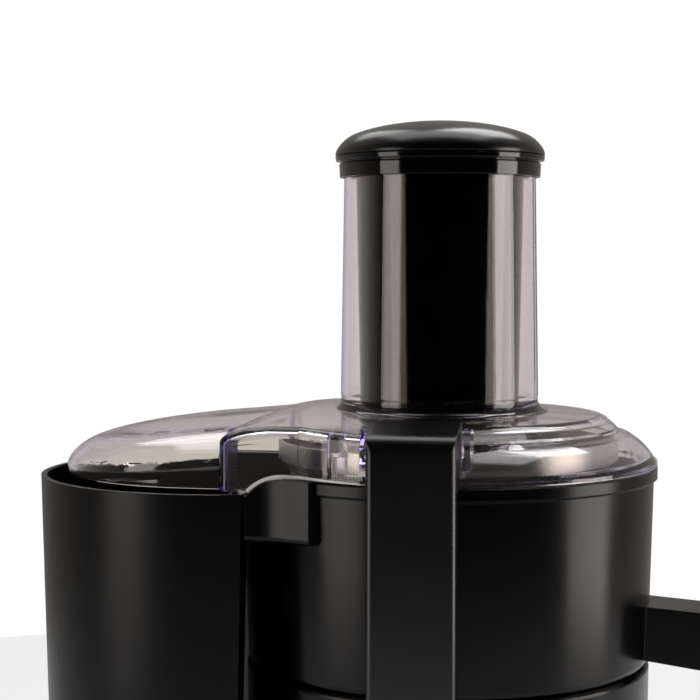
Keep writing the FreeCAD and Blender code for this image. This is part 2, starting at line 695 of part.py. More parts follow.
def base_housing():
    under = BASE_TOP_Z - 3
    posts = [cyl(5.5, SKIRT_Z + 3, under + 1, *spot) for spot in ring_spots(POST_RING_R, SCREW_ANGLES)]
    hangers = [cyl(6.0, HANGER_Z, under + 1, *spot) for spot in ring_spots(HANGER_R, CORNER_ANGLES)]
    lug = latch_lug()
    boss = cyl_y(KNOB_R + 5, -KNOB_FACE, -74, 0, KNOB_Z)
    housing = join(base_shell(), lug, mirrored(lug), boss, *posts, *hangers)
    cuts = [cyl_x(LATCH_PIN_R + FIT / 5, -50, 50, y, LATCH_PIVOT_Z) for y in (-LATCH_PIVOT_Y, LATCH_PIVOT_Y)]
    cuts.append(cyl_y(KNOB_R + 2.4, -75, -60, 0, KNOB_Z))
    cuts.append(cyl_y(5.0, -100, -60, 0, KNOB_Z))
    cuts.append(cyl_y(GLAND_R + FIT, 60, 100, 0, GLAND_Z))
    cuts += [cyl(1.8, SKIRT_Z, 34, *spot) for spot in ring_spots(POST_RING_R, SCREW_ANGLES)]
    cuts += [cyl(1.8, HANGER_Z - 10, HANGER_Z + 10, *spot) for spot in ring_spots(HANGER_R, CORNER_ANGLES)]
    return housing.cut(cuts)


def bottom_cover():
    cover = cyl(PLINTH_R - WALL - 0.2, SKIRT_Z, SKIRT_Z + 3)
    slot = plan([(30, -2), (31.2, 0, 30, 2), (56, 2), (57.2, 0, 56, -2)], 0, 20)
    cuts = spun(slot, 24, 7.5)
    for spot in ring_spots(POST_RING_R, SCREW_ANGLES):
        cuts.append(cyl(2.0, 0, 20, *spot))
        cuts.append(cyl(4.2, 0, SKIRT_Z + 1.6, *spot))
    return cover.cut(cuts)


def rubber_feet():
    soft = 1.5 * SOFT
    foot = turned([
        (0, 0), (FOOT_R - 1.5, 0), (FOOT_R - soft, soft, FOOT_R, 1.5), (FOOT_R - 0.8, SKIRT_Z), (0, SKIRT_Z)])
    return placed(foot, ring_spots(FOOT_RING_R, CORNER_ANGLES))


def cover_screws():
    screw = turned([
        (0, SKIRT_Z), (3.9, SKIRT_Z), (3.9, SKIRT_Z + 1.6), (1.75, SKIRT_Z + 1.6), (1.75, 32), (0, 33)])
    for half_x, half_y in ((2, 0.5), (0.5, 2)):
        screw = screw.cut(box(-half_x, half_x, -half_y, half_y, SKIRT_Z - 1, SKIRT_Z + 1))
    return placed(screw, ring_spots(POST_RING_R, SCREW_ANGLES))


# Motor

def motor_bracket(low, cup_low, cup_high):
    """Plate with a bearing cup in the middle and four arms."""
    plate = cyl(34, low, low + 4)
    arm = box(0, HANGER_R, -7, 7, low, low + 4).fuse(cyl(7, low, low + 4, HANGER_R))
    cup = cyl(CUP_R + 3, cup_low, cup_high)
    return join(plate, cup, *spun(arm, 4, 45))


def top_bracket():
    bracket = motor_bracket(BRACKET_Z, BRACKET_Z - 5, BRACKET_Z + 4)
    cuts = [cyl(CUP_R + 0.01, BRACKET_Z - 6, BRACKET_Z + 2.5), cyl(6, 100, 200)]
    cuts += [cyl(1.85, 100, 200, *spot) for spot in ring_spots(HANGER_R, CORNER_ANGLES)]
    return bracket.cut(cuts)


def bottom_bracket():
    low = LOW_BRACKET_Z
    spots = ring_spots(BOLT_RING_R, CORNER_ANGLES)
    columns = [cyl(4, low + 3, STATOR_Z[0], *spot) for spot in spots]
    bracket = join(motor_bracket(low, low, low + 9), *columns)
    cuts = [cyl(CUP_R + 0.01, low + 1.5, low + 20), cyl(6, 0, 100)]
    cuts += [cyl(1.85, 0, 100, *spot) for spot in spots]
    return bracket.cut(cuts)


def bearing(low, high):
    """Ball bearing with a sunk shield on each face."""
    race = ring(CUP_R, SHAFT_R + RUN, low, high)
    return race.cut([ring(9, 6.6, low - 1, low + 0.8), ring(9, 6.6, high - 0.8, high + 1)])


def coil_sector(reach, low, high):
    """Annular sector that one field coil fills."""
    inner, outer = COIL_R
    c = math.cos(reach)
    s = math.sin(reach)
    return plan([
        (inner * c, -inner * s), (inner, 0, inner * c, inner * s), (outer * c, outer * s),
        (outer, 0, outer * c, -outer * s)], low, high)


def stator_core():
    low, high = STATOR_Z
    core = cyl(STATOR_R, low, high).common(box(-STATOR_R, STATOR_R, -39, 39, low, high))
    cuts = [cyl(ROTOR_R + 0.7, low - 1, high + 1)]
    cuts += spun(coil_sector(COIL_REACH + 0.005, low - 1, high + 1), 2)
    cuts += [cyl(1.85, low - 1, high + 1, *spot) for spot in ring_spots(BOLT_RING_R, CORNER_ANGLES)]
    return core.cut(cuts)


def field_coils():
    low, high = STATOR_Z
    return spun(coil_sector(COIL_REACH, low - 8, high + 9), 2)


def motor_bolts():
    low = LOW_BRACKET_Z
    high = STATOR_Z[1]
    bolt = turned([
        (0, low - 3), (3.4, low - 3), (3.4, low), (1.8, low), (1.8, high), (3.4, high), (3.4, high + 3),
        (0, high + 3)])
    return placed(bolt, ring_spots(BOLT_RING_R, CORNER_ANGLES))


def motor_mounts():
    mount = ring(7.0, 1.85, BRACKET_Z + 4, HANGER_Z)
    return placed(mount, ring_spots(HANGER_R, CORNER_ANGLES))


def mount_screws():
    low = BRACKET_Z - 2.5
    screw = turned([
        (0, low), (4, low), (4, BRACKET_Z), (1.75, BRACKET_Z), (1.75, HANGER_Z + 8), (0, HANGER_Z + 9)])
    return placed(screw, ring_spots(HANGER_R, CORNER_ANGLES))


def brush_holders():
    holders = []
    low, high = BRUSH_Z
    for sign in (-1, 1):
        x0, x1 = sorted((sign * 14.0, sign * 32.0))
        sleeve = box(x0, x1, -5, 5, low - 1.5, high + 1.5).cut(box(-60, 60, -3.5, 3.5, low, high))
        stand = box(sign * 24 - 4, sign * 24 + 4, -5, 5, LOW_BRACKET_Z + 4, low - 1.5)
        holders.append(join(sleeve, stand))
    return holders


def carbon_brushes():
    brushes = []
    for sign in (-1, 1):
        x0, x1 = sorted((sign * (COMMUTATOR_R + 0.4), sign * 28.0))
        brushes.append(box(x0, x1, -3.45, 3.45, BRUSH_Z[0], BRUSH_Z[1] - 0.05))
    return brushes


def motor_shaft():
    low = 20.0
    high = COUPLING_Z[1] + 1.6
    return turned([
        (0, low), (SHAFT_R - 0.6, low), (SHAFT_R, low + 0.6), (SHAFT_R, high - 0.6), (SHAFT_R - 0.6, high),
        (0, high)])


def rotor_core():
    low, high = STATOR_Z
    core = ring(ROTOR_R, SHAFT_R + 0.01, low, high)
    slot = box(ROTOR_R - 8, ROTOR_R + 1, -1.1, 1.1, low - 1, high + 1)
    return core.cut(spun(slot, 12))


def armature_winding():
    """End turns of the winding, above and below the rotor core."""
    low, high = STATOR_Z
    ends = []
    for z0, z1 in ((low - 8, low), (high, high + 9)):
        middle = (z0 + z1) / 2
        ends.append(turned([(9, z0 + 1), (10, z0), (19, z0), (22, middle, 19, z1), (10, z1), (9, z1 - 1)]))
    return ends


def commutator():
    low = BRUSH_Z[0] - 3
    high = BRUSH_Z[1] + 2
    gap = box(COMMUTATOR_R - 1, COMMUTATOR_R + 1, -0.3, 0.3, low - 1, high + 1)
    return ring(COMMUTATOR_R, SHAFT_R + 0.01, low, high).cut(spun(gap, 12))


def cooling_fan():
    high = FAN_Z + 11
    hub = ring(9, SHAFT_R + 0.01, FAN_Z, high)
    plate = ring(38, 8, FAN_Z, FAN_Z + 1.6)
    blade = box(8, 38, -0.9, 0.9, FAN_Z, high)
    blade.rotate(vec(20, 0, FAN_Z), Z_AXIS, 18)
    return join(hub, plate, *spun(blade, 9))


def shaft_seal():
    seat = BASE_TOP_Z - SEAL_DEPTH
    inner = SHAFT_R + 0.4
    outer = SEAL_R - FIT
    return turned([
        (inner, seat), (outer, seat), (outer, seat + 6), (9, seat + 6), (8, seat + 3), (inner, seat + 2)])


# Drive coupling and strainer basket

def coupling_star(root, tip):
    """Six-lobed outline of the coupling."""
    step = math.radians(15)
    points = []
    for index in range(12):
        radius = root if index % 2 else tip
        start, middle, end = ((radius * math.cos(k * step), radius * math.sin(k * step))
                              for k in (2 * index - 1, 2 * index, 2 * index + 1))
        points += [start, middle + end]
    return points


def drive_coupling():
    star = plan(coupling_star(10.5, 13.0), *COUPLING_Z)
    return star.cut(cyl(SHAFT_R + 0.01, 150, 250))


def mesh_cone(grow):
    """Cone of the mesh basket, grown or shrunk sideways."""
    rise = MESH_TOP_Z - DISC_Z
    return Part.makeCone(MESH_FOOT_R + grow, MESH_TOP_R + grow, rise, vec(0, 0, DISC_Z))


def basket_frame():
    hub_low = COUPLING_Z[0] + 2
    floor = DISC_Z - 3
    socket_top = COUPLING_Z[1]
    socket = plan(coupling_star(10.6, 13.1), hub_low - 1, socket_top)
    hub = cyl(17.5, hub_low, floor + 1)
    plate = cyl(MESH_FOOT_R + 1.5, floor, DISC_Z)
    seat = ring(MESH_TOP_R + 3.0, MESH_TOP_R - 1.2, MESH_TOP_Z, MESH_TOP_Z + 1.6)
    rim = ring(MESH_TOP_R + 3.0, MESH_TOP_R + 1.5, MESH_TOP_Z, MESH_TOP_Z + RIM_HEIGHT)
    # Ribs outside the mesh tie the rim to the floor
    rib = path_face(
        [(MESH_FOOT_R + 0.45, DISC_Z), (MESH_FOOT_R + 2.6, DISC_Z - 2), (MESH_TOP_R + 2.6, MESH_TOP_Z + 1),
         (MESH_TOP_R + 0.45, MESH_TOP_Z)],
        lambda r, z: vec(r, -1.2, z)).extrude(vec(0, 2.4, 0))
    flare = mesh_cone(0.5)
    ribs = [one.cut(flare) for one in spun(rib, 8)]
    frame = join(hub, plate, seat, rim, *ribs)
    return frame.cut([socket, cyl(SHAFT_R + 0.4, 150, socket_top + 2.2)] + cutter_rivets())


def basket_mesh():
    return mesh_cone(0.45).cut(mesh_cone(-0.55))


def cutter_disc():
    top = DISC_Z + DISC_THICK
    teeth = []
    for row, (radius, count) in enumerate(TOOTH_ROWS):
        tooth = plan([(radius - 1.6, -2.2), (radius + 1.6, -2.2), (radius, 2.2)], top - 0.2, top + 2.0)
        ramp = Part.makeBox(8, 8, 4, vec(radius - 4, -2.2, top))
        ramp.rotate(vec(radius, -2.2, top), X_AXIS, 25)
        teeth += spun(tooth.cut(ramp), count, 7.0 * row)
    disc = join(cyl(DISC_R, DISC_Z, top), *teeth)
    return disc.cut(cutter_rivets())


def cutter_rivets():
    low = DISC_Z - 2
    top = DISC_Z + DISC_THICK
    rivet = turned([(0, low), (1.6, low), (1.6, top), (2.6, top), (1.6, top + 0.8), (0, top + 0.8)])
    rivet.translate(vec(34, 0, 0))
    return spun(rivet, 3, 20)


# Controls

def speed_knob():
    start = -KNOB_FACE - 1.0
    end = start - KNOB_DEPTH + 1.0
    knob = Part.makeCone(KNOB_R - 2, KNOB_R, start - end, vec(0, end, KNOB_Z), Y_AXIS)
    rim = [edge for edge in knob.Edges if edge.BoundBox.YMax < end + 0.01]
    knob = knob.makeFillet(1.5, rim)
    groove = cyl_y(1.2, end - 1, start + 1, KNOB_R + 0.3, KNOB_Z)
    for index in range(24):
        cut = groove.copy()
        cut.rotate(vec(0, 0, KNOB_Z), Y_AXIS, 15 * index + 7.5)
        knob = knob.cut(cut)
    pointer = box(-1.0, 1.0, end - 1, end + 0.8, KNOB_Z + 6, KNOB_Z + KNOB_R - 4)
    knob = knob.cut(pointer)
    return knob.cut(cyl_y(3.0 + 0.01, start - 6, 0, 0, KNOB_Z))


def switch_spindle():
    return cyl_y(3.0, -KNOB_FACE - 7.0, -66, 0, KNOB_Z)


def dial_plate():
    plate = cyl_y(KNOB_R + 4.4, -KNOB_FACE - 0.8, -KNOB_FACE, 0, KNOB_Z)
    return plate.cut(cyl_y(4.0, -100, -60, 0, KNOB_Z))


def speed_switch():
    body = box(-15, 15, -75, -58, KNOB_Z - 15, KNOB_Z + 15)
    body = body.cut(cyl_y(3.0 + RUN, -80, -65, 0, KNOB_Z))
    tabs = [box(x - 0.4, x + 0.4, -58, -50, KNOB_Z - 3, KNOB_Z + 3) for x in (-9, 0, 9)]
    return join(body, *tabs)


def interlock_switches():
    switches = []
    wall = BASE_R - WALL - 1.0
    for sign in (-1, 1):
        y0, y1 = sorted((sign * (wall - 11), sign * (wall - 0.4)))
        switches.append(box(-5, 5, y0, y1, 146, 165))
    return switches


def control_board():
    low = SKIRT_Z + 3
    board = box(-24, 24, 59, 60.6, low, low + 50)
    stand = box(-24, 24, 56, 64, low, low + 3)
    choke = box(-18, -2, 47, 59, low + 8, low + 24)
    capacitor = cyl_y(6, 44, 59, 12, low + 16)
    heat_sink = box(4, 18, 53, 59, low + 28, low + 44)
    return join(board, stand, choke, capacitor, heat_sink)


def cord_gland():
    gland = turned([
        (GLAND_BORE, 0), (GLAND_R, 0), (GLAND_R, 6), (10, 6), (10, 8), (7.2, 9), (6.0, 14), (GLAND_BORE, 14)])
    gland.rotate(vec(0, 0, 0), X_AXIS, -90)
    gland.translate(vec(0, WAIST_R - 5.6, GLAND_Z))
    return gland


def build():
    node("base_housing", base_housing())
    node("bottom_cover", bottom_cover())
    node("rubber_feet", *rubber_feet())
    node("cover_screws", *cover_screws())
    node("juice_bowl", juice_bowl())
    node("shaft_seal", shaft_seal())
    node("motor_top_bracket", top_bracket())
    node("motor_bottom_bracket", bottom_bracket())
    node("upper_bearing", bearing(BRACKET_Z - 5, BRACKET_Z + 2.5))
    node("lower_bearing", bearing(LOW_BRACKET_Z + 1.5, LOW_BRACKET_Z + 9))
    node("stator_core", stator_core())
    node("field_coils", *field_coils())
    node("motor_bolts", *motor_bolts())
    node("motor_mounts", *motor_mounts())
    node("mount_screws", *mount_screws())
    node("brush_holders", *brush_holders())
    node("carbon_brushes", *carbon_brushes())
    node("speed_switch", speed_switch())
    node("dial_plate", dial_plate())
    node("interlock_switches", *interlock_switches())
    node("control_board", control_board())
    node("cord_gland", cord_gland())
    node("front_latch_pin", latch_pin())
    node("rear_latch_pin", half_turn(latch_pin()))
    node("motor_shaft", motor_shaft())
    node("rotor_core", rotor_core())
    node("armature_winding", *armature_winding())
    node("commutator", commutator())
    node("cooling_fan", cooling_fan())
    node("drive_coupling", drive_coupling())
    node("basket_frame", basket_frame())
    node("basket_mesh", basket_mesh())
    node("cutter_disc", cutter_disc())
    node("cutter_rivets", *cutter_rivets())
    node("speed_knob", speed_knob())
    node("switch_spindle", switch_spindle())
    node("front_latch", latch())
    node("rear_latch", half_turn(latch()))
    node("lid_cover", lid_cover())
    node("feed_chute", feed_chute())
    node("pusher_body", pusher_body())
    node("pusher_cap", pusher_cap())
    node("pulp_bin", pulp_bin())


build()
os.makedirs("parts", exist_ok=True)
for name, shape in NODES.items():
    shape.translate(vec(AXIS_X, 0, 0))
    shape.exportStep("parts/" + name + ".step")
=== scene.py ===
import json
import math

import bmesh
import bpy
from mathutils import Matrix, Vector


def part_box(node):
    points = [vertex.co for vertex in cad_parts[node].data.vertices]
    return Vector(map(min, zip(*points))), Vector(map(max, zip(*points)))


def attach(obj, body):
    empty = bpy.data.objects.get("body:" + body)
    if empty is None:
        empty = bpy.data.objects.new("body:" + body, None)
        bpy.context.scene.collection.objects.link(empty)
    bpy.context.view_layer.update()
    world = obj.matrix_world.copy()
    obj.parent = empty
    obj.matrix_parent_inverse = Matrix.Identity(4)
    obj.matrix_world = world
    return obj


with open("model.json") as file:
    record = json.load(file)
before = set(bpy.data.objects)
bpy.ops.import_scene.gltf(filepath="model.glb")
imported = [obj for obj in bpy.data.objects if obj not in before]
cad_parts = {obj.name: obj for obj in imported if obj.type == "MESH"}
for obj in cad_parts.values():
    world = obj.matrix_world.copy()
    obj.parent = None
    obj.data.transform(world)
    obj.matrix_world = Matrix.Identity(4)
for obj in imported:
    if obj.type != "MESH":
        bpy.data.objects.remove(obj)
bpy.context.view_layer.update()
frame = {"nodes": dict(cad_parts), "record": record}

# Places read from the CAD frame, in metres
basket_low, basket_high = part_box("basket_mesh")
bowl_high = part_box("juice_bowl")[1]
knob_low, knob_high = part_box("speed_knob")
dial_low, dial_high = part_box("dial_plate")
AXIS_X = (basket_low[0] + basket_high[0]) / 2
BASKET_R = (basket_high[0] - basket_low[0]) / 2
LIP_Z = bowl_high[2]
KNOB_FACE_Y = knob_low[1]
KNOB_Z = (knob_low[2] + knob_high[2]) / 2
KNOB_R = (knob_high[0] - knob_low[0]) / 2
DIAL_FACE_Y = dial_low[1]
DIAL_R = (dial_high[0] - dial_low[0]) / 2

# Camera, measured from the spin axis and the bowl's lip
CAMERA_AZIMUTH = math.radians(8.25)     # from the front towards +X
CAMERA_DISTANCE = 0.7364
CAMERA_HEIGHT = 0.0871
CAMERA_HEADING = math.radians(11.455)   # from +Y towards -X
CAMERA_TILT = math.radians(3.123)       # downwards
CAMERA_LENS = 89.99
SENSOR = 36.0

# Clear plastic
CLEAR = (0.88, 0.86, 0.735)
CLEAR_LIGHT = (0.9, 0.88, 0.755)
CLEAR_ROUGHNESS = (0.01, 0.03)
CLEAR_IOR = 1.5
CLEAR_DEPTH = (0.55, 0.45, 0.82)      # colour that the clear plastic takes along its edges
CLEAR_DENSITY = 95.0
CHUTE_HAZE = 0.0                      # share of the light that the chute's plastic scatters
LID_HAZE = 0.015                      # share of the light that the lid's plastic scatters
PAINTED_EDGE_SHADE = (0.1, 0.07, 0.26)        # painted violet shade on the wall that stands edge-on at the drum's left end
END_WALL_X = -0.079                   # middle of that wall, from the spin axis
END_WALL_HALF = 0.0024
END_WALL_Y = -0.049                   # it lies in front of this

# Perforated sheet of the basket
MESH_PITCH = 0.0016
MESH_HOLE = (0.24, 0.3)               # inner and outer radius of a hole's edge, in pitches
# painted shade: near black in the drawn holes, for the dark seen through them
MESH_HOLE_SHADE = (0.015, 0.015, 0.016)
MESH_RELIEF = 0.0002

# Other finishes
BLACK = (0.0006, 0.0006, 0.00065)
BLACK_LIGHT = (0.001, 0.001, 0.00105)
CLOUD_DETAIL = 3.0
CLOUD_RANGE = (0.3, 0.7)              # part of the cloud's values that runs through the roughness
GRAIN_DETAIL = 2.0
BEVEL_SAMPLES = 4                     # rays that the rounding of the edges takes
FINISHES = {
    "body_black": dict(
        dark=BLACK, light=BLACK_LIGHT, roughness=(0.2, 0.24), specular=0.25, grain=1100, depth=0.000003,
        edge=0.0006),
    "bin_black": dict(
        dark=BLACK, light=BLACK_LIGHT, roughness=(0.29, 0.33), specular=0.22, grain=1100, depth=0.000003,
        edge=0.0006),
    "latch_black": dict(
        dark=BLACK, light=BLACK_LIGHT, roughness=(0.25, 0.29), specular=0.7, grain=1100, depth=0.000003,
        edge=0.001),
    "pusher_black": dict(
        dark=BLACK, light=BLACK_LIGHT, roughness=(0.06, 0.1), grain=700, depth=0.000002, edge=0.0006),
    "cap_black": dict(
        dark=BLACK, light=BLACK_LIGHT, roughness=(0.2, 0.26), grain=1300, depth=0.000003, edge=0.0006),
    "matte_black": dict(
        dark=(0.012, 0.012, 0.013), light=(0.02, 0.02, 0.021), roughness=(0.45, 0.55), depth=0.00001),
    "rubber": dict(
        dark=(0.012, 0.012, 0.012), light=(0.02, 0.02, 0.02), roughness=(0.65, 0.8), depth=0.00003),
    "steel": dict(
        dark=(0.5, 0.5, 0.51), light=(0.62, 0.62, 0.63), roughness=(0.22, 0.34), metallic=1.0, grain=1500,
        depth=0.000008, cloud=30.0, stretch=(1, 1, 12)),
    "lamination": dict(
        dark=(0.12, 0.12, 0.13), light=(0.2, 0.2, 0.21), roughness=(0.4, 0.55), metallic=1.0, depth=0.00005,
        cloud=40.0, stretch=(0.05, 0.05, 3)),
    "copper": dict(
        dark=(0.35, 0.13, 0.06), light=(0.55, 0.22, 0.1), roughness=(0.25, 0.4), metallic=1.0, grain=700,
        depth=0.0001, cloud=60.0, stretch=(0.2, 0.2, 2)),
    "brass": dict(
        dark=(0.5, 0.35, 0.12), light=(0.62, 0.45, 0.18), roughness=(0.25, 0.4), metallic=1.0),
    "cast_aluminium": dict(
        dark=(0.45, 0.45, 0.46), light=(0.58, 0.58, 0.6), roughness=(0.4, 0.55), metallic=1.0, grain=500,
        depth=0.00008),
    "carbon": dict(
        dark=(0.02, 0.02, 0.022), light=(0.035, 0.035, 0.038), roughness=(0.5, 0.65)),
    "board": dict(
        dark=(0.012, 0.08, 0.03), light=(0.02, 0.12, 0.05), roughness=(0.35, 0.5)),
    "dial": dict(
        dark=(0.02, 0.02, 0.021), light=(0.028, 0.028, 0.03), roughness=(0.3, 0.36), grain=1500,
        depth=0.000006),
    # painted highlight: pale finish of the strip that stands in for the light on the lid's clear rim
    "edge_highlight": dict(
        dark=(0.5, 0.49, 0.48), light=(0.56, 0.55, 0.54), roughness=(0.3, 0.4), grain=1300, depth=0.000004),
    "print_white": dict(
        dark=(0.68, 0.68, 0.67), light=(0.76, 0.76, 0.75), roughness=(0.4, 0.5), cloud=400.0),
}
MESH_STEEL = dict(
    dark=(0.6, 0.6, 0.61), light=(0.78, 0.78, 0.79), roughness=(0.28, 0.4), metallic=1.0, cloud=60.0)

# Nodes whose finish differs a little from the others of their record slot
OWN_FINISHES = {"pusher_cap": "cap_black", "pulp_bin": "bin_black", "lid_cover": "lid_clear"}

# Pale strip on the lid's edge, a painted highlight for the light on the clear rim; it falls to the bin on
# the left, measured from the spin axis
EDGE_R = 0.0874
EDGE_SIDE = 0.0733                    # half width of the pulp outlet, where the edge runs straight
EDGE_LIFT = 0.0011                    # its middle over the lip
EDGE_FALL_X = -0.054                  # it starts to fall here
EDGE_FALL_R = 0.0196
EDGE_FALL_TURN = math.radians(46)
EDGE_RIGHT_X = -0.021
EDGE_TALL = 0.0007                    # half height, on the left
EDGE_SLIM = 0.4                       # share of that height at its right end
EDGE_DEEP = 0.0005                    # half depth
EDGE_STEPS = 24
EDGE_SIDES = 12

# Dial
NUMERALS = ("0", "1", "2")
NUMERAL_STEP = math.radians(45)
NUMERAL_SIZE = 0.0042
NUMERAL_HALF = 0.00004                # half thickness of the print
NUMERAL_LIFT = 0.00003                # its middle over the plate
POINTER_WIDTH = 0.0018
POINTER_LENGTH = 0.0106
POINTER_DEPTH = 0.0004
POINTER_EDGE = 0.00015
POINTER_EASE = 0.3                    # share of that edge at the middle of its rounding
POINTER_BELOW = 0.00035               # how far the inlay's face lies below the knob's face
POINTER_IN = 0.0095                   # its middle, in from the knob's rim
POINTER_STEPS = 24

# Floor
FLOOR_R = 0.85
FLOOR_DROP = 0.0005
FLOOR_SIDES = 96
FLOOR_TONE = (0.62, 0.62, 0.62)
FLOOR_GLOW = 0.6                      # share of plain white that the eye sees in it

# Studio round the machine. A direction's depth is 1 straight behind the machine and -1 on the camera's side
WHITE = (1, 1, 1)
STUDIO_GREY = (0.31, 0.287, 0.265)
STUDIO_DARK = 0.015                   # share of that grey in front
STUDIO_DEPTHS = (-0.4, 0.3)           # dark before the first, full grey after the second
FILL_GREY = (0.5, 0.5, 0.5)
OPEN_DEPTHS = (-0.05, 0.5)            # a look that is reflected inside the lid turns white between these
OPEN_SHARE = 0.9                      # how white it gets
STRAIGHT_BELOW = 0.5                  # fewer reflections than this is a straight look

# Panels, which face a point on the spin axis. Azimuth is measured from the camera's side, towards +X
LIGHT_HEIGHT = 0.33
WARM = (1.0, 0.94, 0.89)
PANELS = {
    "left_panel": dict(
        azimuth=-58, elevation=2, distance=1.6, width=0.66, height=1.4, radiance=2.9, colour=WARM),
    "right_panel": dict(
        azimuth=82, elevation=2, distance=1.6, width=0.82, height=1.4, radiance=4.8, colour=WARM),
    "top_panel": dict(
        azimuth=180, elevation=78, distance=1.4, width=1.4, height=0.75, radiance=2.2, colour=WHITE),
    "back_right_panel": dict(
        azimuth=154, elevation=53, distance=1.5, width=0.8, height=0.6, radiance=4.8, colour=WHITE),
    "back_left_panel": dict(
        azimuth=208, elevation=46, distance=1.5, width=0.5, height=0.6, radiance=2.6, colour=WHITE),
}


# Shader nodes, whose owner is a material or the world

def add(owner, kind, **settings):
    item = owner.node_tree.nodes.new(kind)
    for key, value in settings.items():
        setattr(item, key, value)
    return item


def feed(owner, socket, value):
    """Gives a socket another node's output, a colour or a plain number."""
    if isinstance(value, bpy.types.NodeSocket):
        owner.node_tree.links.new(value, socket)
    elif isinstance(value, tuple):
        socket.default_value = (*value, 1)
    else:
        socket.default_value = value


def calculate(owner, operation, *values):
    """One step of arithmetic on outputs and plain numbers."""
    item = add(owner, "ShaderNodeMath", operation=operation)
    for socket, value in zip(item.inputs, values):
        feed(owner, socket, value)
    return item.outputs[0]


def spread(owner, value, source, target):
    """Maps one range of a value onto another."""
    item = add(owner, "ShaderNodeMapRange")
    feed(owner, item.inputs["Value"], value)
    feed(owner, item.inputs["From Min"], source[0])
    feed(owner, item.inputs["From Max"], source[1])
    feed(owner, item.inputs["To Min"], target[0])
    feed(owner, item.inputs["To Max"], target[1])
    return item.outputs["Result"]


def mix_colours(owner, share, first, second):
    item = add(owner, "ShaderNodeMix", data_type="RGBA")
    feed(owner, item.inputs["Factor"], share)
    feed(owner, item.inputs["A"], first)
    feed(owner, item.inputs["B"], second)
    return item.outputs["Result"]


def mix_shaders(owner, share, first, second):
    item = add(owner, "ShaderNodeMixShader")
    feed(owner, item.inputs["Fac"], share)
    feed(owner, item.inputs[1], first)
    feed(owner, item.inputs[2], second)
    return item.outputs[0]


def split(owner, place):
    """X, Y and Z of a place or a direction, by name."""
    item = add(owner, "ShaderNodeSeparateXYZ")
    feed(owner, item.inputs["Vector"], place)
    return item.outputs


def piece_place(material):
    """Place on the piece, in metres."""
    return add(material, "ShaderNodeTexCoord").outputs["Object"]


# Materials

def noise(material, scale, detail, stretch=(1, 1, 1)):
    """Noise fixed to the piece, with its scale in waves per metre."""
    mapping = add(material, "ShaderNodeMapping")
    mapping.inputs["Scale"].default_value = stretch
    feed(material, mapping.inputs["Vector"], piece_place(material))
    texture = add(material, "ShaderNodeTexNoise")
    feed(material, texture.inputs["Scale"], scale)
    feed(material, texture.inputs["Detail"], detail)
    feed(material, texture.inputs["Vector"], mapping.outputs["Vector"])
    return texture.outputs["Fac"]


def bump(material, value, depth, edge=0.0):
    """Fine relief, over edges that look rounded where an edge radius is given."""
    item = add(material, "ShaderNodeBump")
    feed(material, item.inputs["Strength"], 1.0)
    feed(material, item.inputs["Distance"], depth)
    feed(material, item.inputs["Height"], value)
    if edge:
        bevel = add(material, "ShaderNodeBevel", samples=BEVEL_SAMPLES)
        feed(material, bevel.inputs["Radius"], edge)
        feed(material, item.inputs["Normal"], bevel.outputs["Normal"])
    return item.outputs["Normal"]


def surface(name, dark, light, roughness, metallic=0.0, specular=0.5, grain=900.0, depth=0.0, cloud=18.0,
            stretch=(1, 1, 1), edge=0.0):
    """Base finish: clouded colour and roughness, over a fine grain where a depth is given."""
    material = bpy.data.materials.new(name)
    material.use_nodes = True
    shader = material.node_tree.nodes["Principled BSDF"]
    soft = noise(material, cloud, CLOUD_DETAIL)
    feed(material, shader.inputs["Base Color"], mix_colours(material, soft, dark, light))
    feed(material, shader.inputs["Roughness"], spread(material, soft, CLOUD_RANGE, roughness))
    feed(material, shader.inputs["Metallic"], metallic)
    feed(material, shader.inputs["Specular IOR Level"], specular)
    if depth:
        fine = noise(material, grain, GRAIN_DETAIL, stretch)
        feed(material, shader.inputs["Normal"], bump(material, fine, depth, edge))
    return material


def painted_shade_place(material):
    """Where the painted violet shade goes: one on the front wall at the drum's left end, and nothing
    elsewhere.
    """
    place = split(material, piece_place(material))
    at_end = calculate(material, "COMPARE", place["X"], AXIS_X + END_WALL_X, END_WALL_HALF)
    in_front = calculate(material, "LESS_THAN", place["Y"], END_WALL_Y)
    return calculate(material, "MULTIPLY", at_end, in_front)


def clear_plastic(name, haze):
    """Clear plastic that turns violet with depth, with painted violet shade on the edge-on wall at the
    drum's left end. The haze is the share of light that it scatters.
    """
    material = surface(name, CLEAR, CLEAR_LIGHT, CLEAR_ROUGHNESS)
    shader = material.node_tree.nodes["Principled BSDF"]
    feed(material, shader.inputs["Transmission Weight"], 1.0 - haze)
    feed(material, shader.inputs["IOR"], CLEAR_IOR)
    plain = shader.inputs["Base Color"].links[0].from_socket
    # painted shade: violet base colour on the end wall that stands edge-on
    shaded = mix_colours(material, painted_shade_place(material), plain, PAINTED_EDGE_SHADE)
    feed(material, shader.inputs["Base Color"], shaded)
    body = add(material, "ShaderNodeVolumeAbsorption")
    feed(material, body.inputs["Color"], CLEAR_DEPTH)
    feed(material, body.inputs["Density"], CLEAR_DENSITY)
    output = material.node_tree.nodes["Material Output"]
    feed(material, output.inputs["Volume"], body.outputs["Volume"])
    return material


